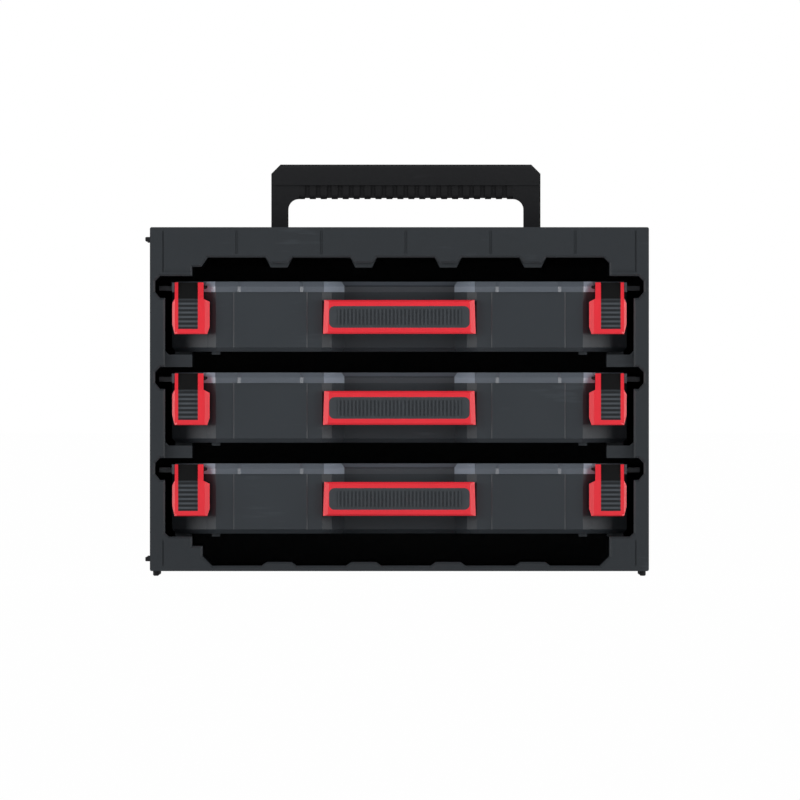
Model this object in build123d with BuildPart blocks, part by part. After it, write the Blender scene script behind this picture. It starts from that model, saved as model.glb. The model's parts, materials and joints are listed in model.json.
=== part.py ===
"""Organizer case: an open-front carrying case that holds pull-out organizer boxes.

X runs to the right, Y runs from the open front to the back, Z runs up from the floor.
All sizes are in millimetres.
"""
import os
from build123d import *

os.makedirs("parts", exist_ok=True)

# Driving sizes of the case
case_w = 415.0          # width over the side walls
case_d = 290.0          # depth from the open front to the back
bay_pitch = 75.67       # height from one box to the next
bay_names = ("lower", "middle", "upper")
foot_h = 4.0            # height of the feet
foot_w = 5.0
foot_len = 40.0
floor_t = 4.5           # bottom wall
side_t = 12.6           # side wall beside the boxes
ledge_rise = 24.2       # bottom wall up to the first ledge
ledge_t = 10.27         # ledge that a box stands on
ledge_reach = 22.5      # how far a ledge comes in from the side wall
ledge_set = 8.0         # ledges start this far behind the front
groove_h = 18.3         # groove for the lid flange
groove_depth = 8.3
groove_low = 5.1        # height of the groove's lower slope
groove_top = 4.2        # height of the groove's upper slope
ceiling_rise = 15.4     # groove top up to the underside of the top wall
top_t = 25.2            # top wall, thick enough to take the handle pocket
top_skin = 4.5
lip = 1.6               # bevel around the front opening
edge_r = 1.5            # soft outer edges
back_t = 5.0
back_rim = 3.0          # shell left around the back panel
field_rib = 5.0         # ribs left between the hollow fields of a side wall
panel_rim = 24.0        # border around the sunk side panels
relief = 1.2            # depth of the sunk side panels
line_w = 2.4            # shallow lines on the front
line_d = 0.6

# Notches in the top wall and the bottom wall
notch_n = 5
roof_tooth_w = 13.9
notch_h = 4.6
notch_slope = 4.25
rib_drop = 3.7          # ribs behind the teeth hang lower than the teeth
tooth_w = 20.4
tooth_h = 3.0
tooth_slope = 4.3
corner_step = 7.8
left_shift = 1.0        # the notches start this far from the left corner step
right_shift = 2.0       # and end this far past the right ledge's slope
right_jog = 2.4         # the right corner of the roof is cut back by this much
left_slope = 5.7        # the slope beside the left corner step

# Carry handle on top
handle_w = 224.9
handle_rise = 53.0      # above the top of the case when it stands up
leg_w = 14.3
leg_t = 16.0
bar_h = 17.3
bar_t = 20.0
handle_bevel = 7.7
crook_r = 8.7           # inner corner between leg and bar
web_t = 9.0
web_h = 7.4
grip_t = 16.0
grip_h = 11.6
rib_pitch = 9.15
rib_gap = 4.0
rib_depth = 0.9
pin_r = 4.0
pin_head_r = 6.5
pin_head_t = 2.0
pin_seat = 8.0          # length of pin held in the pocket wall
pocket_gap = 0.6

# Organizer box
box_gap = 5.7           # box side to case wall
box_set = 8.0           # front of the box behind the front of the case
box_back_gap = 12.0     # room behind the box for its lid hinge
skid_h = 2.5
skid_w = 14.0
wall_t = 2.4
tray_floor_t = 2.6
tray_bevel = 3.5
lid_gap = 4.64          # lid top to the ledge above
lid_h = 8.7
lid_t = 2.2
lid_slope = 2.6         # the upper half of the lid's edge leans in this far
lid_slope_h = 4.2
lid_lip_t = 1.6
lid_lip_h = 3.0
flange_gap = 3.2
flange_t = 4.0
flange_lift = 1.2
divider_t = 1.6
divider_drop = 4.0      # dividers end this far below the rim
panel_t = 0.8           # raised panels on the front
panel_edge = 1.0        # width of their slanted edges
lid_panel_t = 1.8       # raised panels on the front edge of the lid
lid_panel_edge = 2.6
lid_panel_in = 3.7      # shorter by this much at each end than the tray's panels
lid_recess_gap = 1.5    # the lid's recess is narrower than the tray's by this much
panel_from_recess = 12.0
panel_from_corner = 14.3

# Latch at each front corner of a box
corner_w = 28.9         # corner recess seen from the front
corner_d = 11.0         # recess in the lid for the latch knuckle
corner_slope = 7.7      # first slope beside the flat front
corner_slope_d = 5.0
corner_cut_d = 14.0     # the tray's corner runs back by this much behind the latch
latch_low = 17.1        # latch bottom above the ledge
latch_wide = 31.1       # lower part
latch_narrow = 23.9     # upper part
latch_inset = 2.4       # upper part in from the box side
latch_front = 6.5       # latch face in front of the box
latch_t = 11.0
latch_wing_drop = 13.5  # latch top down to the top of its wider part
latch_shoulder = 5.3    # sloped shoulder over the wing, twice as wide as high
latch_taper = 2.0       # corners cut back towards the bottom
latch_lean = 4.0        # how far the latch leans back at its top
latch_pad_lean = 6.0    # the pad leans back further, between the rails of the latch
latch_bevel = 4.0       # width of the slanted edges of latch and grip
latch_bevel_d = 1.6
latch_pad_w = 16.4
latch_pad_inset = 5.2
latch_pad_edge = 4.2
latch_ribs = 7
latch_rib_pitch = 3.7
latch_first_rib = 2.6   # pad bottom up to the middle of its first rib
latch_drop = 0.7        # latch top below the lid top
latch_pin_r = 1.5
knuckle_gap = 2.0       # latch knuckle to the lid behind it
knuckle_r = 4.0
lug_t = 3.5             # length of pin in the lid
catch_h = 3.0
catch_d = 2.6
slot_w = 5.3            # upright slot in the tray's corner, below the latch
slot_d = 1.2

# Grip on the front of a box
grip_half = 63.5
grip_low = 17.3
grip_frame_h = 28.1
grip_front = 7.0
grip_edge = 5.0
grip_round = 4.5
recess_d = 24.0
recess_step = 7.0
recess_slope = 8.1
recess_deep_slope = 10.4
recess_gap = 0.8
tab_w = 4.0             # tabs that hold the grip in the tray
tab_h = 14.0
grip_taper = 1.0        # the grip is a little narrower at the top
grip_foot_in = 1.5      # feet of the grip in from its ends
grip_rest = 3.2         # width of each foot on the deep slope
pad_t = 2.0
pad_rib = 0.6
pad_rib_pitch = 3.155
pad_rib_w = 1.5

# Lid hinge at the back of a box
hinge_x = 110.0
hinge_r = 3.5
hinge_pin_r = 1.5
hinge_leaf = 12.0
hinge_lug = 6.0

# Fits
run_gap = 0.05          # turning pin in its bore
press_gap = 0.02        # pin held in its bore
slip_gap = 0.3          # parts that pass each other
seat_gap = 0.1          # tab in its slot

# Screws, pegs and feet studs
screw_r = 1.7
screw_head_r = 3.4
screw_head_t = 1.8
screw_len = 16.0
stud_r = 1.3
stud_len = 5.0
runner_stud_r = 3.0     # studs that hold a runner to the side wall
peg_out = 4.0
peg_h = 3.7
peg_len = 30.0
peg_z = 9.9             # peg centre above the bottom, and below the top

# Levels and planes that follow from the sizes above
front_y = -case_d / 2
back_y = case_d / 2
wall_in = case_w / 2 - side_t
groove_in = wall_in + groove_depth
ledge_in = wall_in - ledge_reach
base_z = foot_h + floor_t
bay_z = [base_z + ledge_rise + i * bay_pitch for i in range(len(bay_names))]
groove_hi = bay_pitch - ledge_t
groove_lo = groove_hi - groove_h
roof_z = bay_z[-1] + groove_hi
ceiling_z = roof_z + ceiling_rise
top_z = ceiling_z + top_t
notch_left = -ledge_in + corner_step + tooth_slope + left_shift
notch_right = ledge_in - notch_slope + right_shift
roof_tooth_base = roof_tooth_w + 2 * notch_slope
notch_pitch = (notch_right - notch_left + roof_tooth_base) / notch_n
notch_flat = notch_pitch - roof_tooth_base
notch_x = [notch_left + notch_flat / 2 + i * notch_pitch for i in range(notch_n)]
mid_x = (notch_left + notch_right) / 2


on_base = (Align.CENTER, Align.CENTER, Align.MIN)


def front_plane(y):
    """A sketch plane seen from the front, at depth y: local x is X, local y is Z."""
    return Plane.XZ.offset(-y)


def save(solid, name):
    """Name a piece and write its file."""
    solid.label = name
    export_step(solid, f"parts/{name}.step")


def side_points(sign):
    """Inside of one side wall from the first ledge up."""
    slope = side_t / 4
    points = [(ledge_in, bay_z[0]), (wall_in - slope, bay_z[0]), (wall_in, bay_z[0] + slope)]
    for z in bay_z:
        if z > bay_z[0]:
            points += [(wall_in, z - ledge_t)]
        points += [(wall_in, z + groove_lo), (wall_in + groove_depth / 2, z + groove_lo)]
        points += [(groove_in, z + groove_lo + groove_low), (groove_in, z + groove_hi - groove_top)]
        points += [(groove_in - groove_top, z + groove_hi)]
    return [(sign * x, z) for x, z in points]


def runner_points(sign, z):
    """Section of the runner whose top is at this height, with a slope against the wall."""
    slope = side_t / 4
    face = wall_in - seat_gap
    points = [(face, z - ledge_t), (ledge_in, z - ledge_t), (ledge_in, z)]
    points += [(face - slope, z), (face, z + slope)]
    return [(sign * x, z) for x, z in points]


def opening_points(inside):
    """Front opening of the case, walked anticlockwise from the bottom left corner."""
    floor_half = (notch_pitch - tooth_w) / 2 - tooth_slope
    points = []
    for x in notch_x:
        points += [(x - floor_half, base_z), (x + floor_half, base_z)]
        if x < notch_x[-1]:
            tooth = x + floor_half + tooth_slope
            points += [(tooth, base_z + tooth_h), (tooth + tooth_w, base_z + tooth_h)]
    block = notch_x[-1] + floor_half + corner_step
    points += [(block, base_z + corner_step), (block, bay_z[0])]
    points += side_points(1)[1:]
    hang = notch_h + rib_drop if inside else notch_h
    jog = ledge_in + right_jog
    points += [(jog, roof_z), (jog, ceiling_z - notch_h)]
    for x in reversed(notch_x):
        points += [(x + notch_flat / 2, ceiling_z), (x - notch_flat / 2, ceiling_z)]
        if x > notch_x[0]:
            tooth = x - notch_flat / 2 - notch_slope
            points += [(tooth, ceiling_z - hang), (tooth - roof_tooth_w, ceiling_z - hang)]
    step = notch_left - left_slope
    shelf = ceiling_z - corner_step
    points += [(step, shelf), (-ledge_in, shelf), (-ledge_in, roof_z)]
    points += list(reversed(side_points(-1)))
    low = notch_x[0] - floor_half - corner_step
    points += [(-ledge_in, bay_z[0] - corner_step), (low, bay_z[0] - corner_step)]
    points += [(low, base_z + corner_step)]
    return points


# Carry handle and the pocket in the top wall that it folds into
pivot_z = top_z - bar_t / 2
pivot_y = 0.0
handle_top = top_z + handle_rise
handle_l = mid_x - handle_w / 2
handle_r = mid_x + handle_w / 2
pocket_l = handle_l - pocket_gap
pocket_r = handle_r + pocket_gap
pocket_front = pivot_y - leg_t / 2 - pocket_gap
pocket_back = pivot_y + handle_top - pivot_z + pocket_gap
pocket_floor = top_z - bar_t - pocket_gap
rail_y = front_y + side_t
pin_wall = pin_seat + top_skin
field_len = case_d / 2 - ledge_set - back_t - 3 * field_rib

# Where screws, feet and pegs sit
screw_x = wall_in + side_t / 4
screw_z = [bay_z[0] - ledge_t, roof_z + ceiling_rise / 2] + [z - ledge_t / 2 for z in bay_z[1:]]
screw_at = [(sign * screw_x, z) for sign in (-1, 1) for z in screw_z]
foot_x = case_w / 2 - foot_w
foot_y = case_d / 2 - foot_len
foot_at = [(sx * foot_x, sy * foot_y) for sx in (-1, 1) for sy in (-1, 1)]
runner_len = case_d - ledge_set - back_t - seat_gap
runner_studs = [(sy * foot_y, z - ledge_t / 2) for sy in (-1, 1) for z in bay_z[1:]]
peg_at = [(sy * foot_y, z) for sy in (-1, 1) for z in (foot_h + peg_z, top_z - peg_z)]
panel_w = case_w - 2 * back_rim
panel_lo = foot_h + back_rim
panel_hi = top_z - back_rim

with BuildPart() as case_shell:
    with BuildSketch(front_plane(front_y)):
        with Locations((0, (foot_h + top_z) / 2)):
            Rectangle(case_w, top_z - foot_h)
    extrude(amount=-case_d)
    fillet(edges().filter_by(Axis.Y), edge_r)
    # The front ring is shallower at the roof, and has a bevelled lip around the opening
    with BuildSketch(front_plane(front_y)):
        Polygon(*opening_points(False), align=None)
    extrude(amount=-ledge_set, mode=Mode.SUBTRACT)
    chamfer(faces().sort_by(Axis.Y)[0].inner_wires()[0].edges(), lip)
    with BuildSketch(front_plane(front_y + ledge_set)):
        Polygon(*opening_points(True), align=None)
    extrude(amount=-case_d, mode=Mode.SUBTRACT)
    # Rebate for the back panel
    with BuildSketch(front_plane(back_y - back_t)):
        with Locations((0, (panel_lo + panel_hi) / 2)):
            Rectangle(panel_w, panel_hi - panel_lo)
    extrude(amount=-back_t, mode=Mode.SUBTRACT)
    # Pocket for the folded handle
    with BuildSketch(Plane.XY.offset(pocket_floor)):
        with Locations((mid_x, (pocket_front + pocket_back) / 2)):
            Rectangle(pocket_r - pocket_l, pocket_back - pocket_front)
    extrude(amount=bar_t + pocket_gap, mode=Mode.SUBTRACT)
    # Hollows that lighten the top wall around the pocket
    with BuildSketch(Plane.XY.offset(roof_z)):
        with Locations((mid_x, (rail_y + pocket_front - top_skin) / 2)):
            Rectangle(pocket_r - pocket_l, pocket_front - top_skin - rail_y)
        with Locations((mid_x, (pocket_back + back_y - back_t) / 2)):
            Rectangle(pocket_r - pocket_l, back_y - back_t - pocket_back - 2 * top_skin)
        for near, far in ((notch_left, pocket_l - pin_wall), (pocket_r + pin_wall, notch_right)):
            with Locations(((near + far) / 2, (rail_y + back_y - back_t - top_skin) / 2)):
                Rectangle(far - near, back_y - back_t - top_skin - rail_y)
    extrude(amount=ceiling_rise + top_t - top_skin, mode=Mode.SUBTRACT)
    # Cores in the corner blocks: from below at the bottom of the case, from inside at its top
    core_y = (rail_y + back_y - back_t - top_skin) / 2
    core_len = back_y - back_t - top_skin - rail_y
    core_w = ledge_reach / 2
    core_x = wall_in - core_w / 2 - top_skin / 2
    for way in (-1, 1):
        with BuildSketch(Plane.XY.offset(foot_h)):
            with Locations((way * core_x, core_y)):
                Rectangle(core_w, core_len)
        extrude(amount=floor_t + ledge_rise - top_skin, mode=Mode.SUBTRACT)
        with BuildSketch(Plane.XY.offset(roof_z)):
            with Locations((way * core_x, core_y)):
                Rectangle(core_w, core_len)
        extrude(amount=ceiling_rise + top_t - top_skin, mode=Mode.SUBTRACT)
    # Fields that lighten the side walls between the grooves, open to the inside
    for way in (-1, 1):
        with BuildSketch(Plane.YZ.offset(way * wall_in)):
            for z in bay_z:
                for y in (-field_len / 2 - field_rib, field_len / 2 + field_rib):
                    with Locations((y, z + groove_lo / 2)):
                        RectangleRounded(field_len, groove_lo - 4 * field_rib, field_rib)
        extrude(amount=way * (side_t - top_skin), mode=Mode.SUBTRACT)
    # Sunk panels on the outside of the side walls
    for way in (-1, 1):
        with BuildSketch(Plane.YZ.offset(way * case_w / 2)):
            for y in (-field_len / 2 - field_rib, field_len / 2 + field_rib):
                with Locations((y, (foot_h + top_z) / 2)):
                    RectangleRounded(field_len, top_z - foot_h - 2 * panel_rim, crook_r)
        extrude(amount=-way * relief, mode=Mode.SUBTRACT)
    # Sunk field in the top, around the handle pocket
    with BuildSketch(Plane.XY.offset(top_z)):
        RectangleRounded(case_w - 2 * panel_rim, case_d - 2 * panel_rim, crook_r)
    extrude(amount=-relief, mode=Mode.SUBTRACT)
    # Slots in the top that take the feet of a case stacked above
    with BuildSketch(Plane.XY.offset(top_z)):
        with Locations(*foot_at):
            RectangleRounded(foot_w + 2 * slip_gap, foot_len + 2 * slip_gap, foot_w / 3)
    extrude(amount=-foot_h, mode=Mode.SUBTRACT)
    # Shallow lines on the front: one above each notch, and a border in each corner
    with BuildSketch(front_plane(front_y)):
        with Locations(*[(x, ceiling_z + 2 * lip) for x in notch_x]):
            Rectangle(line_w, top_t - 4 * lip, align=(Align.CENTER, Align.MIN))
        for way in (-1, 1):
            with Locations((way * (wall_in + lip), roof_z + 2 * lip)):
                Rectangle(line_w / 2, top_z - roof_z - 4 * lip, align=(Align.CENTER, Align.MIN))
            with Locations((way * (wall_in + lip), base_z)):
                Rectangle(line_w / 2, ledge_rise - 2 * lip, align=(Align.CENTER, Align.MIN))
            with Locations((way * (wall_in + ledge_in) / 2, roof_z + 2 * lip)):
                Rectangle(wall_in - ledge_in, line_w / 2, align=(Align.CENTER, Align.MIN))
    extrude(amount=-line_d, mode=Mode.SUBTRACT)
    # Bores for the handle pins, from the pocket into its side walls
    for start, way in ((pocket_l, -1), (pocket_r, 1)):
        with BuildSketch(Plane.YZ.offset(start)):
            with Locations((pivot_y, pivot_z)):
                Circle(pin_r + press_gap)
        extrude(amount=way * pin_seat, mode=Mode.SUBTRACT)
    # Pilot bores for the back screws
    with BuildSketch(front_plane(back_y - back_t)):
        with Locations(*screw_at):
            Circle(screw_r + press_gap)
    extrude(amount=screw_len - back_t, mode=Mode.SUBTRACT)
    # Bores for the feet
    with BuildSketch(Plane.XY.offset(foot_h)):
        with Locations(*foot_at):
            Circle(stud_r + press_gap)
    extrude(amount=stud_len, mode=Mode.SUBTRACT)
    # Bores for the link pegs on one side and the slots for a neighbour's pegs on the other
    with BuildSketch(Plane.YZ.offset(-case_w / 2)):
        with Locations(*peg_at):
            Circle(stud_r + press_gap)
    extrude(amount=stud_len, mode=Mode.SUBTRACT)
    with BuildSketch(Plane.YZ.offset(case_w / 2)):
        with Locations(*peg_at):
            Rectangle(peg_len + 2 * slip_gap, peg_h + 2 * slip_gap)
    extrude(amount=-peg_out - slip_gap, mode=Mode.SUBTRACT)
    # Bores for the studs of the runners
    for way in (-1, 1):
        with BuildSketch(Plane.YZ.offset(way * wall_in)):
            with Locations(*runner_studs):
                Circle(runner_stud_r + press_gap)
        extrude(amount=way * stud_len, mode=Mode.SUBTRACT)
save(case_shell.part, "case_shell")

# Runners that carry the middle and upper boxes, held to the side walls by studs
for side, way in (("left", -1), ("right", 1)):
    with BuildPart() as runners:
        with BuildSketch(front_plane(front_y + ledge_set)):
            for z in bay_z[1:]:
                Polygon(*runner_points(way, z), align=None)
        extrude(amount=-runner_len)
        with BuildSketch(Plane.YZ.offset(way * (wall_in - 2 * seat_gap))):
            with Locations(*runner_studs):
                Circle(runner_stud_r)
        extrude(amount=way * (stud_len + seat_gap))
    save(runners.part, f"{side}_runners")

with BuildPart() as back_panel:
    with BuildSketch(front_plane(back_y - back_t)):
        with Locations((0, (panel_lo + panel_hi) / 2)):
            Rectangle(panel_w - 2 * seat_gap, panel_hi - panel_lo - 2 * seat_gap)
    extrude(amount=-back_t)
    # Sunk fields on the outside leave stiffening ribs between the bays
    with BuildSketch(front_plane(back_y - back_t / 3)):
        for z in bay_z:
            with Locations((0, z + groove_hi / 2)):
                Rectangle(2 * ledge_in, groove_hi)
        fillet(vertices(), crook_r)
    extrude(amount=-back_t, mode=Mode.SUBTRACT)
    with Locations(*[Plane((x, back_y, z), x_dir=(1, 0, 0), z_dir=(0, 1, 0)) for x, z in screw_at]):
        CounterSinkHole(screw_r + seat_gap, screw_head_r, counter_sink_angle=90)
save(back_panel.part, "back_panel")

with BuildPart() as back_screws:
    with Locations(*[Plane((x, back_y, z), x_dir=(1, 0, 0), z_dir=(0, -1, 0)) for x, z in screw_at]):
        Cone(screw_head_r - seat_gap, screw_r, screw_head_t - 2 * seat_gap, align=on_base)
        Cylinder(screw_r, screw_len - slip_gap, align=on_base)
        Box(screw_r / 2, 2 * screw_r, screw_r, mode=Mode.SUBTRACT)
        Box(2 * screw_r, screw_r / 2, screw_r, mode=Mode.SUBTRACT)
save(back_screws.part, "back_screws")

with BuildPart() as case_feet:
    with BuildSketch(Plane.XY):
        with Locations(*foot_at):
            RectangleRounded(foot_w, foot_len, foot_w / 3)
    extrude(amount=foot_h)
    chamfer(faces().filter_by_position(Axis.Z, 0, 0).edges(), foot_h / 5)
    with BuildSketch(Plane.XY.offset(foot_h)):
        with Locations(*foot_at):
            Circle(stud_r)
    extrude(amount=stud_len - slip_gap)
save(case_feet.part, "case_feet")

with BuildPart() as link_pegs:
    with BuildSketch(Plane.YZ.offset(-case_w / 2)):
        with Locations(*peg_at):
            Rectangle(peg_len, peg_h)
    extrude(amount=-peg_out)
    chamfer(faces().group_by(Axis.X)[0].edges(), peg_h / 6)
    with BuildSketch(Plane.YZ.offset(-case_w / 2)):
        with Locations(*peg_at):
            Circle(stud_r)
    extrude(amount=stud_len - slip_gap)
save(link_pegs.part, "link_pegs")

bar_z = handle_top - bar_h
leg_l = handle_l + leg_w
leg_r = handle_r - leg_w

with BuildPart() as carry_handle:
    with BuildSketch(front_plane(pivot_y - bar_t / 2)):
        shoulder = handle_top - handle_bevel
        low = [(handle_l, shoulder), (handle_l, bar_z), (handle_r, bar_z), (handle_r, shoulder)]
        high = [(handle_r - handle_bevel, handle_top), (handle_l + handle_bevel, handle_top)]
        Polygon(*low, *high, align=None)
    extrude(amount=-bar_t)
    chamfer(faces().filter_by(Axis.Z).sort_by(Axis.Z)[-1].edges().filter_by(Axis.X), bar_t / 8)
    with BuildSketch(front_plane(pivot_y - leg_t / 2)):
        with Locations((handle_l + leg_w / 2, pivot_z), (handle_r - leg_w / 2, pivot_z)):
            Rectangle(leg_w, bar_z - pivot_z, align=(Align.CENTER, Align.MIN))
    extrude(amount=-leg_t)
    with BuildSketch(Plane.YZ.offset(handle_l)):
        with Locations((pivot_y, pivot_z)):
            Circle(leg_t / 2)
    extrude(amount=leg_w)
    with BuildSketch(Plane.YZ.offset(leg_r)):
        with Locations((pivot_y, pivot_z)):
            Circle(leg_t / 2)
    extrude(amount=leg_w)
    # Rounded inner corners
    with BuildSketch(front_plane(pivot_y - grip_t / 2)):
        for x, way in ((leg_l, 1), (leg_r, -1)):
            with Locations((x + way * crook_r / 2, bar_z)):
                Rectangle(crook_r, grip_h + crook_r, align=(Align.CENTER, Align.MAX))
            with Locations((x + way * crook_r, bar_z - grip_h - crook_r)):
                Circle(crook_r, mode=Mode.SUBTRACT)
    extrude(amount=-grip_t)
    # Tongue that the soft grip clips over
    with BuildSketch(front_plane(pivot_y - web_t / 2)):
        with Locations((mid_x, bar_z)):
            Rectangle(leg_r - leg_l - 2 * crook_r, web_h, align=(Align.CENTER, Align.MAX))
    extrude(amount=-web_t)
    with BuildSketch(Plane.YZ.offset(handle_l)):
        with Locations((pivot_y, pivot_z)):
            Circle(pin_r + run_gap)
    extrude(amount=handle_w, mode=Mode.SUBTRACT)
save(carry_handle.part, "carry_handle")

grip_len = leg_r - leg_l - 2 * crook_r
grip_ribs = int(grip_len / rib_pitch)
with BuildPart() as carry_grip:
    with BuildSketch(Plane.YZ.offset(leg_l + crook_r)):
        with Locations((pivot_y, bar_z)):
            Rectangle(grip_t, grip_h, align=(Align.CENTER, Align.MAX))
        fillet(vertices().group_by(Axis.Y)[0], grip_t / 4)
    extrude(amount=grip_len)
    # Finger grooves around the grip
    for i in range(grip_ribs):
        x = mid_x + (i - (grip_ribs - 1) / 2) * rib_pitch
        with BuildSketch(Plane.YZ.offset(x - rib_gap / 2)):
            with Locations((pivot_y, bar_z)):
                Rectangle(2 * grip_t, 2 * grip_h)
                Rectangle(
                    grip_t - 2 * rib_depth, 2 * (grip_h - rib_depth), mode=Mode.SUBTRACT
                )
        extrude(amount=rib_gap, mode=Mode.SUBTRACT)
    with BuildSketch(Plane.YZ.offset(leg_l + crook_r)):
        with Locations((pivot_y, bar_z)):
            Rectangle(web_t, web_h, align=(Align.CENTER, Align.MAX))
    extrude(amount=grip_len, mode=Mode.SUBTRACT)
save(carry_grip.part, "carry_grip")

with BuildPart() as handle_pins:
    for seat, leg, way in ((pocket_l, leg_l, 1), (pocket_r, leg_r, -1)):
        tip = seat - way * (pin_seat - slip_gap)
        with BuildSketch(Plane.YZ.offset(tip)):
            with Locations((pivot_y, pivot_z)):
                Circle(pin_r)
        extrude(amount=leg + way * slip_gap - tip)
        with BuildSketch(Plane.YZ.offset(leg + way * slip_gap)):
            with Locations((pivot_y, pivot_z)):
                Circle(pin_head_r)
        extrude(amount=way * pin_head_t)
save(handle_pins.part, "handle_pins")

# One organizer box, drawn with its ledge at zero height and then copied into each bay
box_half = wall_in - box_gap
box_front = front_y + box_set
box_back = back_y - back_t - box_back_gap
lid_top = groove_hi - lid_gap
rim_z = lid_top - lid_h
tray_z = skid_h
recess_half = grip_half + recess_gap
recess_mid = recess_half - recess_slope
recess_in = recess_mid - recess_deep_slope
corner_in = box_half - corner_w
face_end = corner_in - corner_slope
corner_y = box_front + corner_d
recess_y = box_front + recess_d
panel_in = recess_half + panel_from_recess
panel_out = face_end - panel_from_corner

slope_y = box_front + corner_slope_d
lid_corner = box_half - latch_inset - latch_narrow - slip_gap


def mirrored(half):
    """Outline of a box seen from above, from its right half."""
    return half + [(-x, y) for x, y in reversed(half)]


tray_outline = mirrored([
    (recess_in, recess_y),
    (recess_mid, box_front + recess_step),
    (recess_half, box_front),
    (face_end, box_front),
    (corner_in, slope_y),
    (box_half, slope_y + corner_cut_d),
    (box_half, box_back),
])
# The lid has one slope at the recess, and a raised panel on each side of it
lid_panel_y = box_front - lid_panel_t
lid_outline = mirrored([
    (recess_in, recess_y),
    (recess_half - lid_recess_gap, box_front),
    (panel_in + lid_panel_in, box_front),
    (panel_in + lid_panel_in + lid_panel_edge, lid_panel_y),
    (panel_out - lid_panel_in - lid_panel_edge, lid_panel_y),
    (panel_out - lid_panel_in, box_front),
    (face_end, box_front),
    (lid_corner, slope_y),
    (lid_corner, corner_y),
    (box_half, corner_y),
    (box_half, box_back),
])

# Latch places, on the left side of the box
latch_y = box_front - latch_front
latch_back = latch_y + latch_t
wing_back = box_front + latch_bevel_d / 2
latch_top = lid_top - latch_drop
latch_pin_y = corner_y - knuckle_r - knuckle_gap
latch_pin_z = latch_top - knuckle_r
latch_out = -box_half + slip_gap
narrow_out = -box_half + latch_inset
narrow_in = narrow_out + latch_narrow
latch_pin_len = box_half - lid_corner + lug_t
catch_x = narrow_out + latch_narrow / 2
catch_z = latch_low + 2 * catch_h
lug_w = latch_inset - slip_gap
lug_reach = corner_y - latch_pin_y + knuckle_r - seat_gap

# Grip places
grip_y = box_front - grip_front
grip_top = grip_low + grip_frame_h
tab_x = recess_in + tab_w
tab_z = grip_low + grip_frame_h / 2
tab_end = recess_y + 2 * wall_t

# Hinge places
hinge_y = box_back + hinge_r + slip_gap
hinge_z = rim_z - hinge_r - slip_gap
hinge_at = [-hinge_x, hinge_x]
lug_x = hinge_leaf / 2 + slip_gap + hinge_lug / 2

# A shallow slot that follows the slanted corner of the tray
slot_run = corner_cut_d / corner_w
slot_in = -catch_x + catch_h
slot_out = slot_in + slot_w
slot_near = slope_y + (slot_in - corner_in) * slot_run
slot_far = slope_y + (slot_out - corner_in) * slot_run
corner_slot = [
    (slot_in, slot_near),
    (slot_out, slot_far),
    (slot_out, slot_far + slot_d),
    (slot_in, slot_near + slot_d),
]

skid_y = slope_y + corner_cut_d
divider_z = rim_z - divider_drop
inner_front = recess_y + 2 * tab_w + divider_t
middle_y = (inner_front + box_back) / 2

with BuildPart() as tray:
    with BuildSketch(Plane.XY.offset(tray_z)):
        Polygon(*tray_outline, align=None)
    extrude(amount=rim_z - tray_z)
    chamfer(faces().sort_by(Axis.Z)[0].edges(), tray_bevel)
    # Ridges that the latches catch under
    for way in (-1, 1):
        with BuildSketch(front_plane(latch_back + latch_bevel_d / 2)):
            with Locations((way * catch_x, catch_z + slip_gap)):
                Rectangle(latch_pad_w / 2, catch_h, align=(Align.CENTER, Align.MIN))
        extrude(amount=latch_back - slope_y - corner_cut_d)
        # A shallow upright slot in the slanted corner
        with BuildSketch(Plane.XY.offset(tray_z + tray_bevel)):
            Polygon(*[(way * x, y) for x, y in corner_slot], align=None)
        extrude(amount=catch_z - tray_bevel, mode=Mode.SUBTRACT)
    with BuildSketch(Plane.XY.offset(tray_z + tray_floor_t)):
        Polygon(*tray_outline, align=None)
        offset(amount=-wall_t, kind=Kind.INTERSECTION)
    extrude(amount=rim_z, mode=Mode.SUBTRACT)
    # Raised panels on the front, with slanted side edges
    for way in (-1, 1):
        with BuildSketch(Plane.XY.offset(tray_z + tray_bevel)):
            near = [(panel_in, box_front), (panel_in + panel_edge, box_front - panel_t)]
            far = [(panel_out - panel_edge, box_front - panel_t), (panel_out, box_front)]
            Polygon(*[(way * x, y) for x, y in near + far], align=None)
        extrude(amount=rim_z - tray_z - tray_bevel)
    # Skids that run on the ledges
    with BuildSketch(Plane.XY):
        for way in (-1, 1):
            with Locations((way * (ledge_in + skid_w / 2 + slip_gap), (skid_y + box_back) / 2)):
                Rectangle(skid_w - slip_gap, box_back - skid_y - 2 * tray_bevel)
            with Locations((way * face_end, corner_y)):
                Rectangle(2 * tray_bevel, skid_w, align=(Align.CENTER, Align.MIN))
    extrude(amount=tray_z + tray_floor_t / 2)
    # Slots for the tabs of the grip
    with BuildSketch(front_plane(box_front)):
        with Locations((-tab_x, tab_z), (tab_x, tab_z)):
            Rectangle(tab_w + 2 * seat_gap, tab_h + 2 * seat_gap)
    extrude(amount=-recess_d - wall_t, mode=Mode.SUBTRACT)
    # Hinge lugs on the back wall
    for x in hinge_at:
        for way in (-1, 1):
            with BuildSketch(Plane.YZ.offset(x + way * lug_x - hinge_lug / 2)):
                with Locations((hinge_y, hinge_z)):
                    Circle(hinge_r)
                    Rectangle(hinge_r + wall_t, 2 * hinge_r, align=(Align.MAX, Align.CENTER))
                    Circle(hinge_pin_r + press_gap, mode=Mode.SUBTRACT)
            extrude(amount=hinge_lug)

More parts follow.
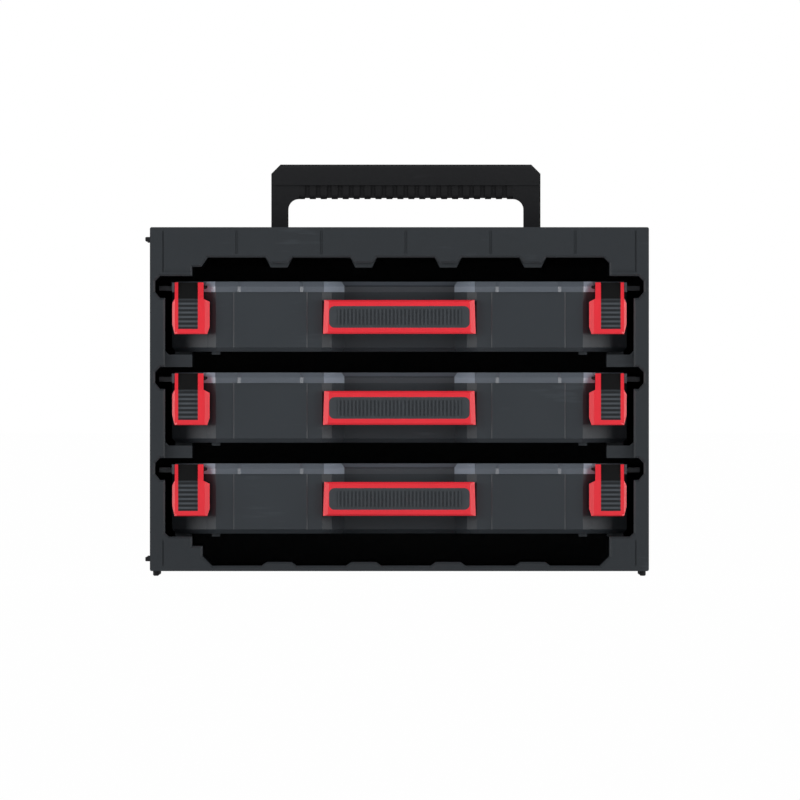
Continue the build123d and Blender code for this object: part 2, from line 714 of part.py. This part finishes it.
# Loose divider plates: two right across the tray, and short ones between them
with BuildPart() as dividers:
    front_run = middle_y - inner_front - divider_t - 2 * seat_gap
    back_run = box_back - wall_t - middle_y - divider_t / 2 - 2 * seat_gap
    front_mid = (inner_front + middle_y) / 2
    back_mid = box_back - wall_t - seat_gap - back_run / 2
    with BuildSketch(Plane.XY.offset(tray_z + tray_floor_t)):
        with Locations((0, inner_front), (0, middle_y)):
            Rectangle(2 * (box_half - wall_t - seat_gap), divider_t)
        with Locations((-box_half / 2, front_mid), (box_half / 2, front_mid)):
            Rectangle(divider_t, front_run)
        with Locations((-box_half / 2, back_mid), (0, back_mid), (box_half / 2, back_mid)):
            Rectangle(divider_t, back_run)
    extrude(amount=divider_z - tray_z - tray_floor_t)

with BuildPart() as lid:
    with BuildSketch(Plane.XY.offset(rim_z)):
        Polygon(*lid_outline, align=None)
    extrude(amount=lid_h)
    crown = faces().sort_by(Axis.Z)[-1]
    chamfer(crown.edges(), lid_slope, lid_slope_h, reference=crown)
    # Shallow sunk field in the top, crossed by a raised band
    with BuildSketch(Plane.XY.offset(lid_top - lid_t / 3)):
        for way in (-1, 1):
            with Locations((way * box_half / 2, (recess_y + box_back) / 2)):
                RectangleRounded(box_half - 4 * lid_h, box_back - recess_y - 2 * lid_h, lid_h)
    extrude(amount=lid_t, mode=Mode.SUBTRACT)
    with BuildSketch(Plane.XY.offset(rim_z)):
        Polygon(*tray_outline, align=None)
        offset(amount=-wall_t, kind=Kind.INTERSECTION)
    extrude(amount=lid_h - lid_t, mode=Mode.SUBTRACT)
    # Lip that drops inside the tray
    with BuildSketch(Plane.XY.offset(rim_z - lid_lip_h)):
        Polygon(*tray_outline, align=None)
        offset(amount=-wall_t - slip_gap, kind=Kind.INTERSECTION)
    extrude(amount=lid_h + lid_lip_h - lid_t / 2)
    with BuildSketch(Plane.XY.offset(rim_z - lid_lip_h)):
        Polygon(*tray_outline, align=None)
        offset(amount=-wall_t - slip_gap - lid_lip_t, kind=Kind.INTERSECTION)
    extrude(amount=lid_h + lid_lip_h - lid_t, mode=Mode.SUBTRACT)
    # Flanges that run in the grooves of the case
    with BuildSketch(Plane.XY.offset(rim_z + flange_lift)):
        for way in (-1, 1):
            edge = groove_in - flange_gap
            with Locations((way * (box_half + edge) / 2, (skid_y + box_back) / 2)):
                Rectangle(edge - box_half + 2 * seat_gap, box_back - corner_y - 4 * lid_h)
    extrude(amount=flange_t)
    # Lugs that hold the latch pins
    for way in (-1, 1):
        with BuildSketch(Plane.XY.offset(rim_z)):
            with Locations((way * (narrow_out - slip_gap - lug_w / 2), corner_y)):
                Rectangle(lug_w, lug_reach, align=(Align.CENTER, Align.MAX))
        extrude(amount=latch_pin_z + knuckle_r - seat_gap - rim_z)
        with BuildSketch(Plane.YZ.offset(-way * box_half)):
            with Locations((latch_pin_y, latch_pin_z)):
                Circle(latch_pin_r + press_gap)
        extrude(amount=way * latch_pin_len, mode=Mode.SUBTRACT)
    # Hinge leaves behind the back wall
    for x in hinge_at:
        with BuildSketch(Plane.YZ.offset(x - hinge_leaf / 2)):
            with Locations((hinge_y, hinge_z)):
                Circle(hinge_r)
                Rectangle(2 * hinge_r, rim_z - hinge_z + lid_h / 2, align=(Align.CENTER, Align.MIN))
            with Locations((hinge_y, rim_z + slip_gap)):
                Rectangle(hinge_r + wall_t, lid_h / 2 - slip_gap, align=(Align.MAX, Align.MIN))
            with Locations((hinge_y, hinge_z)):
                Circle(hinge_pin_r + run_gap, mode=Mode.SUBTRACT)
        extrude(amount=hinge_leaf)

# Front faces of the latch, from the bottom up and over the top
latch_face = [
    (latch_y, latch_low + latch_pad_edge),
    (latch_y, latch_top - latch_wing_drop),
    (latch_y + latch_lean, latch_top),
]
latch_side = latch_face + [
    (latch_pin_y, latch_top),
    (latch_back, latch_pin_z),
    (latch_back, latch_low),
    (latch_y + pad_t, latch_low),
    (latch_y, latch_low + pad_t),
]
latch_groove_side = latch_face + [
    (latch_y + latch_pad_lean + pad_t, latch_top),
    (latch_y + pad_t, latch_top - latch_wing_drop),
    (latch_y + pad_t, latch_low + latch_pad_edge),
]
latch_pad_side = [
    (latch_y, latch_low + latch_pad_edge),
    (latch_y, latch_top - latch_wing_drop),
    (latch_y + latch_pad_lean, latch_top),
    (latch_y + latch_pad_lean + pad_t, latch_top),
    (latch_y + pad_t, latch_top - latch_wing_drop),
    (latch_y + pad_t, latch_low + latch_pad_edge),
]
latch_pad_x = -box_half + latch_pad_inset

with BuildPart() as latch:
    with BuildSketch(Plane.YZ.offset(narrow_out)):
        Polygon(*latch_side, align=None)
        with Locations((latch_pin_y, latch_pin_z)):
            Circle(knuckle_r)
    extrude(amount=latch_narrow)
    # The lower part is wider than the part between the lugs, and its edges are slanted
    with BuildSketch(Plane.XY.offset(latch_low)):
        far = latch_out + latch_wide
        edge_y = latch_y + latch_bevel_d
        left = [(latch_out, latch_back), (latch_out, edge_y), (latch_out + latch_bevel, latch_y)]
        right = [(far - latch_bevel, latch_y), (far, edge_y), (far, wing_back)]
        Polygon(*left, *right, (narrow_in, wing_back), (narrow_in, latch_back), align=None)
    extrude(amount=latch_top - latch_wing_drop - latch_low)
    chamfer(faces().group_by(Axis.Z)[0].edges().group_by(Axis.Y)[0], latch_bevel_d / 2)
    # Sloped shoulders, and corners that taper towards the bottom
    shoulder_z = latch_top - latch_wing_drop
    with BuildSketch(front_plane(latch_y)):
        for x, z, run, drop in (
            (far, shoulder_z, -latch_shoulder, -latch_shoulder / 2),
            (latch_out, shoulder_z, latch_taper, -2 * latch_taper),
            (far, latch_low, -latch_taper, 3 * latch_taper),
            (latch_out, latch_low, latch_taper, 4 * latch_taper),
        ):
            Polygon((x, z), (x + run, z), (x, z + drop), align=None)
    extrude(amount=-latch_t, mode=Mode.SUBTRACT)
    # Hollow behind the face
    with BuildSketch(front_plane(latch_back)):
        with Locations((catch_x, catch_z + catch_h)):
            hollow_h = latch_top - latch_wing_drop - catch_z - 2 * catch_h
            Rectangle(latch_narrow - 2 * catch_h, hollow_h, align=(Align.CENTER, Align.MIN))
    extrude(amount=latch_t - 2 * pad_t - wall_t, mode=Mode.SUBTRACT)
    # Nose that catches under the ridge of the tray
    with BuildSketch(front_plane(latch_back)):
        with Locations((catch_x, catch_z)):
            Rectangle(latch_pad_w / 2, catch_h, align=(Align.CENTER, Align.MAX))
    extrude(amount=-catch_d)
    with BuildSketch(Plane.YZ.offset(latch_pad_x)):
        Polygon(*latch_groove_side, align=None)
    extrude(amount=latch_pad_w, mode=Mode.SUBTRACT)
    with BuildSketch(Plane.YZ.offset(narrow_out)):
        with Locations((latch_pin_y, latch_pin_z)):
            Circle(latch_pin_r + run_gap)
    extrude(amount=latch_narrow, mode=Mode.SUBTRACT)

with BuildPart() as latch_pad:
    with BuildSketch(Plane.YZ.offset(latch_pad_x)):
        Polygon(*latch_pad_side, align=None)
    extrude(amount=latch_pad_w)
    with BuildSketch(front_plane(latch_y)):
        for i in range(latch_ribs):
            rib_z = latch_low + latch_pad_edge + latch_first_rib + i * latch_rib_pitch
            with Locations((latch_pad_x + latch_pad_w / 2, rib_z)):
                Rectangle(latch_pad_w - latch_pad_edge, latch_rib_pitch / 2)
    extrude(amount=pad_rib)

with BuildPart() as latch_pin:
    with BuildSketch(Plane.YZ.offset(-box_half)):
        with Locations((latch_pin_y, latch_pin_z)):
            Circle(latch_pin_r)
    extrude(amount=latch_pin_len)

# The grip bridges the recess and stands on both of its slopes
foot_out = grip_half - grip_foot_in
foot_in = tab_x - tab_w / 2 - recess_gap
rise_out = box_front + (recess_half - foot_out) / recess_slope * recess_step
bend_y = box_front + recess_step
rest_x = recess_mid - grip_rest
rise_in = bend_y + (recess_mid - rest_x) / recess_deep_slope * (recess_d - recess_step)
pad_half = grip_half - grip_edge
pad_h = grip_frame_h - 2 * grip_edge
pad_rib_n = int(2 * (pad_half - grip_edge) / pad_rib_pitch)

with BuildPart() as grip:
    with BuildSketch(front_plane(grip_y)):
        low = [(-grip_half, grip_low), (grip_half, grip_low)]
        high_half = grip_half - grip_taper
        high = [(high_half, grip_top), (-high_half, grip_top)]
        Polygon(*low, *high, align=None)
    extrude(amount=-grip_front)
    face = faces().sort_by(Axis.Y)[0]
    ends = face.edges().sort_by(Axis.X)
    chamfer([ends[0], ends[-1]], latch_bevel, latch_bevel_d, reference=face)
    long_edges = faces().sort_by(Axis.Y)[0].edges().filter_by(Axis.X)
    chamfer(long_edges, grip_edge / 4)
    for way in (-1, 1):
        with BuildSketch(Plane.XY.offset(grip_low + grip_edge)):
            near = [(foot_in, box_front - pad_t), (foot_out, box_front - pad_t), (foot_out, rise_out)]
            deep = [(recess_mid, bend_y), (rest_x, rise_in), (foot_in, rise_in)]
            Polygon(*[(way * x, y) for x, y in near + deep], align=None)
        extrude(amount=pad_h)
        with BuildSketch(front_plane(rise_in - pad_t)):
            with Locations((way * tab_x, tab_z)):
                Rectangle(tab_w, tab_h)
        extrude(amount=rise_in - pad_t - tab_end)
    with BuildSketch(front_plane(grip_y)):
        with Locations((0, grip_low + grip_frame_h / 2)):
            RectangleRounded(2 * pad_half, pad_h, grip_round)
    extrude(amount=-pad_t, mode=Mode.SUBTRACT)

with BuildPart() as grip_pad:
    with BuildSketch(front_plane(grip_y)):
        with Locations((0, grip_low + grip_frame_h / 2)):
            RectangleRounded(2 * pad_half, pad_h, grip_round)
    extrude(amount=-pad_t)
    with BuildSketch(front_plane(grip_y)):
        with Locations((0, grip_low + grip_frame_h / 2)):
            with GridLocations(pad_rib_pitch, pad_h, pad_rib_n, 1):
                Rectangle(pad_rib_w, pad_h - grip_edge)
    extrude(amount=pad_rib)

with BuildPart() as hinge_pins:
    for x in hinge_at:
        with BuildSketch(Plane.YZ.offset(x - lug_x - hinge_lug / 2)):
            with Locations((hinge_y, hinge_z)):
                Circle(hinge_pin_r)
        extrude(amount=2 * lug_x + hinge_lug)

box_pieces = {
    "tray": tray.part,
    "dividers": dividers.part,
    "lid": lid.part,
    "hinge_pins": hinge_pins.part,
    "grip": grip.part,
    "grip_pad": grip_pad.part,
    "left_latch": latch.part,
    "left_latch_pad": latch_pad.part,
    "left_latch_pin": latch_pin.part,
    "right_latch": mirror(latch.part, about=Plane.YZ),
    "right_latch_pad": mirror(latch_pad.part, about=Plane.YZ),
    "right_latch_pin": mirror(latch_pin.part, about=Plane.YZ),
}
for bay, z in zip(bay_names, bay_z):
    for piece, solid in box_pieces.items():
        save(Pos(0, 0, z) * solid, f"{bay}_{piece}")
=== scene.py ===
# %% [markdown]
# # An open-front organizer case with three pull-out boxes
# The solids come from the CAD model, already in place and in metres, so nothing has to be fitted by eye.
# This lesson gives each piece its finish, sets the camera where the photographer stood, and lights the
# case softly. The box of the solids is kept now, and the camera is set in front of it.

# %% Load the solids
import json
import math
import bpy
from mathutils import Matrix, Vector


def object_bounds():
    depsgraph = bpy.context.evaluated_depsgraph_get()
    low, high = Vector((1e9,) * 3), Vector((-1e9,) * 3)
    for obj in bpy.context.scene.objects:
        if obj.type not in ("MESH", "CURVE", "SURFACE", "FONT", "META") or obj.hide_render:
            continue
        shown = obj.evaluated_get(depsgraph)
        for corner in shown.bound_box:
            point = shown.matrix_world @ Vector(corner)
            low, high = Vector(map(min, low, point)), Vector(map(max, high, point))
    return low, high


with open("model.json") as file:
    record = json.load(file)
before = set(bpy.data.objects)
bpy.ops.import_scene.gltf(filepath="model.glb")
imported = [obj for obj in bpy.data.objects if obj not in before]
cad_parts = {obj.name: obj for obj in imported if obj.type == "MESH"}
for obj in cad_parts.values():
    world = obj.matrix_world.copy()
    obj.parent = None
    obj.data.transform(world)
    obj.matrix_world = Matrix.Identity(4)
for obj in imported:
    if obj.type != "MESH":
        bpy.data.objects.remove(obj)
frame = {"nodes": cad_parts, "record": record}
solid_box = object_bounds()
nodes = frame["nodes"]
slot_of = {part["node"]: part["material_slot"] for part in frame["record"]["subparts"]}
finishes = {}
print("solids loaded:", len(nodes))

# %% [markdown]
# ## Writing shader maths as plain expressions
# A finish is a network of nodes. It could be wired by hand, node by node, but that hides the idea. Here one
# small class wraps an output socket and turns +, -, * and / into Math nodes, so a formula reads as one.

# %% A socket that can be used in an expression
class Wire:
    """An output socket. An expression on it adds one Math node for each operator."""

    def __init__(self, tree, socket):
        self.tree, self.socket = tree, socket

    def math(self, operation, *values):
        """A Math node with this operation on the given values, in order."""
        node = self.tree.nodes.new("ShaderNodeMath")
        node.operation = operation
        for place, value in zip(node.inputs, values):
            join(self.tree, value, place)
        return Wire(self.tree, node.outputs[0])

    def __add__(self, other): return self.math("ADD", self, other)
    def __radd__(self, other): return self.math("ADD", other, self)
    def __sub__(self, other): return self.math("SUBTRACT", self, other)
    def __rsub__(self, other): return self.math("SUBTRACT", other, self)
    def __mul__(self, other): return self.math("MULTIPLY", self, other)
    def __rmul__(self, other): return self.math("MULTIPLY", other, self)
    def __truediv__(self, other): return self.math("DIVIDE", self, other)
    def size(self): return self.math("ABSOLUTE", self)
    def limit(self): return self.math("MINIMUM", self.math("MAXIMUM", self, 0.0), 1.0)


def join(tree, value, place):
    """Link a wire to a socket, or write a plain value on it."""
    if isinstance(value, Wire):
        tree.links.new(value.socket, place)
    else:
        place.default_value = value


def between(value, low, high, edge=0.0005):
    """1 where value lies between low and high, 0 elsewhere, with a ramp of this width at each end."""
    return ((value - low) / edge).limit() * ((high - value) / edge).limit()

# %% [markdown]
# ## One class for a material
# Each finish needs the same few nodes: noise, a blend of two colours, a bump. A second class holds one
# material and adds any node by its type, so each finish below is a few lines. All patterns are worked out
# from the point's own place on the piece. A flat picture would stretch on the sides and show its seams.

# %% A material that adds nodes by type, settings and socket values
class Finish:
    """One material. node() adds any node; shade() sets the shader's own sockets."""

    def __init__(self, name):
        self.name, self.material = name, bpy.data.materials.new(name)
        self.material.use_nodes = True
        self.tree = self.material.node_tree
        self.shader = self.tree.nodes["Principled BSDF"]
        self.spot = self.node("ShaderNodeTexCoord", output="Object")

    def node(self, kind, settings=None, output=0, **sockets):
        """A node of this kind. A socket is named with _ for a space, or as i and its number."""
        node = self.tree.nodes.new(kind)
        for key, value in (settings or {}).items():
            setattr(node, key, value)
        for key, value in sockets.items():
            place = int(key[1:]) if key[1:].isdigit() else key.replace("_", " ")
            join(self.tree, value, node.inputs[place])
        return Wire(self.tree, node.outputs[output])

    def noise(self, grain_mm, detail=2.0, stretch=(1.0, 1.0, 1.0)):
        """Smooth random values, about grain_mm from one blob to the next along an unstretched axis."""
        at = self.spot
        if stretch != (1.0, 1.0, 1.0):
            at = self.node("ShaderNodeMapping", Vector=at, Scale=stretch)
        return self.node("ShaderNodeTexNoise", Vector=at, Scale=1000.0 / grain_mm, Detail=detail)

    def along(self, axis):
        """The point's own coordinate along axis 0, 1 or 2, in metres."""
        return self.node("ShaderNodeSeparateXYZ", output=axis, Vector=self.spot)

    def blend(self, amount, first, second):
        """A colour between two colours."""
        pair = {"data_type": "RGBA", "clamp_factor": True}
        return self.node("ShaderNodeMix", pair, output=2, i0=amount, i6=first, i7=second)

    def bump(self, height, depth_mm, strength):
        """The normal of a surface raised by height times depth_mm."""
        return self.node("ShaderNodeBump", Height=height, Distance=depth_mm / 1000.0, Strength=strength)

    def shade(self, **sockets):
        """Values or wires for the shader's sockets, then the finish is kept under its name."""
        for key, value in sockets.items():
            join(self.tree, value, self.shader.inputs[key.replace("_", " ")])
        finishes[self.name] = self.material


def tint(colour, factor):
    """A colour with its brightness multiplied, opaque."""
    return tuple(channel * factor for channel in colour[:3]) + (1.0,)

# %% [markdown]
# ## Moulded plastic
# The case, the trays and the handle are moulded plastic. The steel mould is etched, which leaves a fine
# leathery grain that breaks up the shine, and use adds faint rub marks. The grain could be cut into the mesh,
# but it is far finer than any mesh here, so it is a bump.

# %% Moulded plastic
def moulded(name, colour, gloss, grain_mm, depth_mm, rubs):
    """Etched plastic: colour drifts by a few percent, grain lifts the surface, rubs are thin pale streaks."""
    f = Finish(name)
    drift = f.noise(70.0, detail=3.0)
    grain = f.noise(grain_mm, detail=3.0)
    coarse = f.noise(grain_mm * 6.0, detail=1.0)
    streak = f.noise(5.0, stretch=(0.15, 1.0, 1.4)) * f.noise(38.0, detail=1.0)
    rub = ((streak - 0.36) * 9.0).limit() * rubs
    tone = f.blend(drift, tint(colour, 0.90), tint(colour, 1.10))
    f.shade(Base_Color=f.blend(rub, tone, tint(colour, 1.9)), Specular_IOR_Level=0.2,
            Roughness=gloss + (grain - 0.5) * 0.22 - rub * 0.12,
            Normal=f.bump(grain * 0.7 + coarse * 0.3, depth_mm, 0.6))


moulded("case_plastic", (0.0265, 0.0305, 0.0345), gloss=0.50, grain_mm=0.55, depth_mm=0.10, rubs=0.35)
moulded("tray_plastic", (0.034, 0.0395, 0.045), gloss=0.40, grain_mm=0.40, depth_mm=0.05, rubs=0.25)
moulded("handle_plastic", (0.0115, 0.0118, 0.0130), gloss=0.46, grain_mm=0.50, depth_mm=0.09, rubs=0.30)
print("moulded finishes:", sorted(finishes))

# %% [markdown]
# ## Red plastic
# The latches and grips are red and smoother than the case, with a satin skin. One flat colour would look like
# paint, so the red drifts a little, the skin ripples slightly, and a thin coat adds a soft second shine.

# %% Red plastic
def satin_red(name, colour):
    """Satin plastic: nearly smooth, with a slow ripple of the mould and a little deeper colour in places."""
    f = Finish(name)
    drift = f.noise(26.0)
    skin = f.noise(0.8)
    f.shade(Base_Color=f.blend(drift, tint(colour, 0.93), tint(colour, 1.05)),
            Roughness=0.34 + (skin - 0.5) * 0.16, Normal=f.bump(skin, 0.04, 0.4), Coat_Weight=0.12)


satin_red("red_plastic", (0.82, 0.014, 0.029))
print("red finish made")

# %% [markdown]
# ## Soft pads, feet and the carry grip
# These are a soft plastic that hardly shines, with a pebbled skin and faint patches of pale dust. Round
# cells make the pebbles: plain noise has no edges and would look like the moulded grain again.

# %% Soft plastic
def soft(name, colour, pebble_mm):
    """Soft matt plastic: pebbled grain and dust-pale patches."""
    f = Finish(name)
    cells = {"feature": "SMOOTH_F1"}
    pebble = f.node("ShaderNodeTexVoronoi", cells, Vector=f.spot, Scale=1000.0 / pebble_mm)
    plain = f.blend(f.noise(18.0), tint(colour, 0.88), tint(colour, 1.1))
    dust = ((f.noise(7.0, detail=4.0) - 0.55) * 3.0).limit() * 0.35
    f.shade(Base_Color=f.blend(dust, plain, tint(colour, 1.6)), Specular_IOR_Level=0.2,
            Roughness=0.72 + (pebble - 0.4) * 0.2, Normal=f.bump(pebble, 0.08, 0.5))


soft("pad_rubber", (0.048, 0.054, 0.060), pebble_mm=0.7)
soft("grip_rubber", (0.012, 0.012, 0.013), pebble_mm=0.9)
soft("foot_rubber", (0.022, 0.022, 0.024), pebble_mm=0.9)
print("soft finishes made, finishes so far:", len(finishes))

# %% [markdown]
# ## Latch pads
# A latch pad has level ribs, with a painted highlight on each rib and painted shade between them, and
# painted shade over its upper part. The three boxes are alike and stand at equal heights, so a point's height
# is first wrapped into its own bay. The ribs then follow from a zigzag of that height, at the pitch of the
# ribs on the solid.

# %% Latch pads
bay_floor, next_floor = 0.0327, 0.10837


def laddered(name, colour, first_rib, pitch, painted_shade_from):
    """A soft pad with level ribs: painted highlight on the ribs, painted shade between them and above a
    height in its bay.
    """
    f = Finish(name)
    high = f.along(2)
    rise = high.math("WRAP", high, next_floor, bay_floor) - bay_floor
    off_rib = rise.math("PINGPONG", rise - first_rib, pitch / 2.0)
    rib = ((0.3125 * pitch - off_rib) * 1500.0).limit()
    # painted shade: the pad is darkened from this height in its bay upwards
    painted_shade_top = ((rise - painted_shade_from) * 400.0).limit()
    # painted highlight on the ribs, varied at random, and painted shade between them
    painted_rib_highlight = f.blend(f.noise(6.0, detail=3.0) * 0.5, tint(colour, 1.5), tint(colour, 2.1))
    painted_rib_shading = f.blend(rib, tint(colour, 0.42), painted_rib_highlight)
    f.shade(Base_Color=f.blend(painted_shade_top, painted_rib_shading, tint(colour, 0.03)), Specular_IOR_Level=0.2,
            Roughness=0.62 + f.noise(0.8) * 0.2)


laddered("latch_pad", (0.040, 0.0455, 0.051), first_rib=0.0239, pitch=0.0037, painted_shade_from=0.0445)
print("latch pad finish made")

# %% [markdown]
# ## Steel pins and screws
# The pins are pulled through a die, which leaves fine lines along them. Noise stretched along X gives such
# lines, and both the shine and the bump follow it.

# %% Steel
def drawn_steel(name, dark, bright):
    """Drawn steel: bright, with fine lines along X and faint dull patches."""
    f = Finish(name)
    lines = f.noise(0.5, stretch=(0.05, 1.0, 1.0))
    dull = f.noise(9.0, detail=3.0)
    f.shade(Base_Color=f.blend(dull, dark, bright), Metallic=1.0,
            Roughness=0.28 + lines * 0.16 + dull * 0.08, Normal=f.bump(lines, 0.02, 0.3))


drawn_steel("steel", dark=(0.42, 0.42, 0.44, 1.0), bright=(0.60, 0.60, 0.62, 1.0))
print("steel finish made")

# %% [markdown]
# ## The smoked lids
# The lids are clear plastic tinted grey. Seen from the front they look like a pale grey band, and from above
# the compartments show faintly through. Real glass shading would be slow and noisy, and a little see-through
# with a satin skin gives both looks. At the front the band has painted shade in the middle of the recess, and
# painted light on the recess's slopes and at the corners. Each zone is given by its distance from the middle
# of the case.

# %% Smoked lid
lid_front = (-0.2, -0.112)
# bands, by distance from the middle of the case, for painted shade (recess middle) and painted light (recess
# slope, lid corner)
shaded_recess_middle, lit_recess_slope, lit_lid_corner = (-0.01, 0.0457), (0.0457, 0.0630), (0.1530, 0.1634)


def smoked(name, colour):
    """Tinted plastic: satin, slightly see-through, with hair-fine scratches that catch the light."""
    f = Finish(name)
    drift = f.noise(60.0)
    hair = f.noise(1.6, 1.0, (0.06, 1.0, 1.0)) * f.noise(1.3, 1.0, (1.0, 0.08, 1.0))
    scratch = ((hair - 0.34) * 8.0).limit()
    off_middle = f.along(0).size()
    front = between(f.along(1), *lid_front)
    # painted shade: the middle of the recess at the front is made darker
    shade = between(off_middle, *shaded_recess_middle) * front * 0.7
    # painted light: the recess's slopes and the lid's corners at the front are made paler
    pale = (between(off_middle, *lit_lid_corner) + between(off_middle, *lit_recess_slope) * 0.6) * front
    plain = f.blend(drift, tint(colour, 0.94), tint(colour, 1.05))
    body = f.blend(pale, f.blend(shade, plain, tint(colour, 0.2)), tint(colour, 3.6))
    f.shade(Base_Color=f.blend(scratch * 0.08, body, tint(colour, 1.7)), Alpha=0.86 + scratch * 0.04,
            Roughness=0.34 + scratch * 0.08 + drift * 0.05,
            Normal=f.bump(drift, 0.15, 0.25), Coat_Weight=0.05)


smoked("lid_smoke", (0.098, 0.113, 0.134))
print("lid finish made")

# %% [markdown]
# ## Dressing the solids
# The record says which finish each solid has. It could be set piece by piece, but a loop over the record
# misses none. The pads of the latches are the one exception, because their ribs carry painted highlight and
# painted shade.

# %% Give every solid its finish
for name, piece in nodes.items():
    piece.data.materials.clear()
    piece.data.materials.append(finishes["latch_pad" if name.endswith("latch_pad") else slot_of[name]])
print("finishes given:", len(finishes))

# %% [markdown]
# ## A white studio
# The photo has a white ground with no edge. A bright white room would give that, but it would also flood the
# dark case with light. So the sky and the floor are white only for the rays that the viewer sees directly or
# through the lids, and to some share for mirrored rays. For all other rays they are a soft grey.

# %% White for the viewer, soft grey for the light
def seen_white(tree, kind, shader, target, mirror, share):
    """Mix shader with white, by share, for rays from the viewer, and by mirror of it for mirrored rays."""
    path = tree.nodes.new("ShaderNodeLightPath")
    rays = [Wire(tree, path.outputs[f"Is {name} Ray"]) for name in ("Camera", "Glossy", "Transmission")]
    white = tree.nodes.new(kind)
    white.inputs["Color"].default_value = (1.0, 1.0, 1.0, 1.0)
    mix = tree.nodes.new("ShaderNodeMixShader")
    join(tree, (rays[0] + rays[1] * mirror + rays[2]).limit() * share, mix.inputs[0])
    tree.links.new(shader.outputs[0], mix.inputs[1])
    tree.links.new(white.outputs[0], mix.inputs[2])
    tree.links.new(mix.outputs[0], target.inputs["Surface"])


world = bpy.data.worlds.new("studio")
bpy.context.scene.world = world
world.use_nodes = True
air = world.node_tree
sky = air.nodes["Background"]
sky.inputs["Color"].default_value = (0.8, 0.82, 0.85, 1.0)
sky.inputs["Strength"].default_value = 0.42
seen_white(air, "ShaderNodeBackground", sky, air.nodes["World Output"], mirror=0.10, share=1.0)
print("sky strength:", round(sky.inputs["Strength"].default_value, 3))

# %% [markdown]
# ## Floor
# The case stands on white paper. The paper is so large that its far edge meets the sky unseen, and it keeps a
# trace of its own shading, which is what is left of the case's shadow.

# %% Floor
floor_size = 240.0
bpy.ops.mesh.primitive_grid_add(x_subdivisions=8, y_subdivisions=8, size=floor_size)
floor = bpy.context.object
floor.name = "floor"
paper = Finish("floor_paper")
paper_tone = paper.blend(paper.noise(400.0), (0.93, 0.93, 0.93, 1.0), (0.96, 0.96, 0.96, 1.0))
paper.shade(Base_Color=paper_tone, Roughness=0.9)
paper_output = paper.tree.nodes["Material Output"]
seen_white(paper.tree, "ShaderNodeEmission", paper.shader, paper_output, mirror=0.9, share=0.99)
floor.data.materials.append(paper.material)
print("floor size:", floor_size)

# %% [markdown]
# ## Camera
# The photo is a straight front view with hardly any perspective, so it was taken through a very long lens
# from far away. The distance follows from the width of the picture at the front of the case.

# %% Camera
lens_mm, sensor_mm, frame_width = 1500.0, 36.0, 0.6652
eye_x, eye_z = 0.0005, 0.1463
distance = frame_width * lens_mm / sensor_mm
eye = bpy.data.objects.new("eye", bpy.data.cameras.new("eye"))
bpy.context.collection.objects.link(eye)
eye.data.lens, eye.data.sensor_width = lens_mm, sensor_mm
eye.data.clip_end = 400.0
eye.location = (eye_x, solid_box[0][1] - distance, eye_z)
eye.rotation_euler = (math.radians(90.0), 0.0, 0.0)
bpy.context.scene.camera = eye
print("camera distance:", round(distance, 3))

# %% [markdown]
# ## Lights
# The slanted faces of the boxes are brighter in the photo than the faces that look at the camera, so the
# light comes from both sides. A light beside the camera would mirror in every front face. A weak panel above
# only lifts the tops.

# %% Lights
def panel(name, place, aim, wide, high, watts):
    """A soft rectangular light at place, turned to face aim."""
    lamp = bpy.data.objects.new(name, bpy.data.lights.new(name, "AREA"))
    bpy.context.collection.objects.link(lamp)
    lamp.data.shape, lamp.data.size, lamp.data.size_y, lamp.data.energy = "RECTANGLE", wide, high, watts
    lamp.location = place
    way = [b - a for a, b in zip(place, aim)]
    lamp.rotation_euler = (math.atan2(math.hypot(way[0], way[1]), -way[2]), 0.0, math.atan2(-way[0], way[1]))
    lamp.visible_camera = False


middle = (0.0, -0.1, 0.16)
for side, way in (("left", -1), ("right", 1)):
    panel(f"{side}_panel", (way * 1.75, -0.95, 0.35), middle, wide=1.3, high=1.2, watts=27.0)
panel("top_panel", (0.0, 0.1, 1.9), middle, wide=1.4, high=0.9, watts=1.0)
bpy.context.scene.view_settings.view_transform = "Standard"
print("lights:", len(bpy.data.lights))
